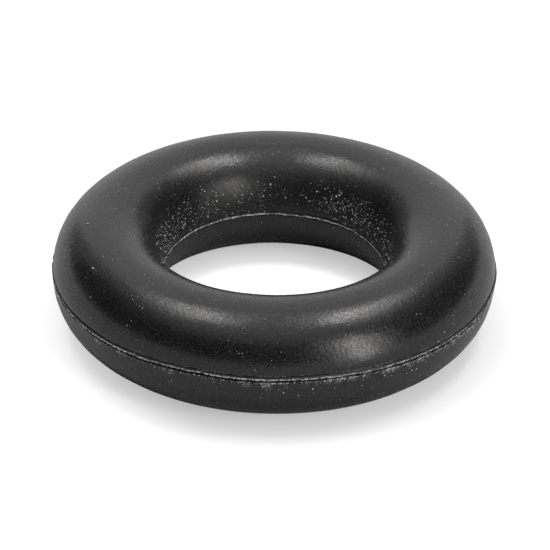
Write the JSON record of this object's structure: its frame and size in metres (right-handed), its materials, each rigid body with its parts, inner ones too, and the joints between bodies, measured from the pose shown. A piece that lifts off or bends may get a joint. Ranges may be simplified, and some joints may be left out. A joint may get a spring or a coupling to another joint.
{
  "type": "o-ring",
  "caption": "Thick black rubber sealing ring with a round section and a fine moulding flash line around its hole and its outside.",
  "frame": {"origin": "centre of the ring, midway between its upper and lower crowns", "axes": "+Z along the ring's axis; X and Y lie across it, and the ring is the same all round"},
  "size_m": [0.0402, 0.0402, 0.0106],
  "materials": {
    "rubber": "semi-matt moulded rubber with grey bloom and specks of talc"
  },
  "bodies": {
    "root": {"o_ring": "rubber"}
  },
  "joints": []
}
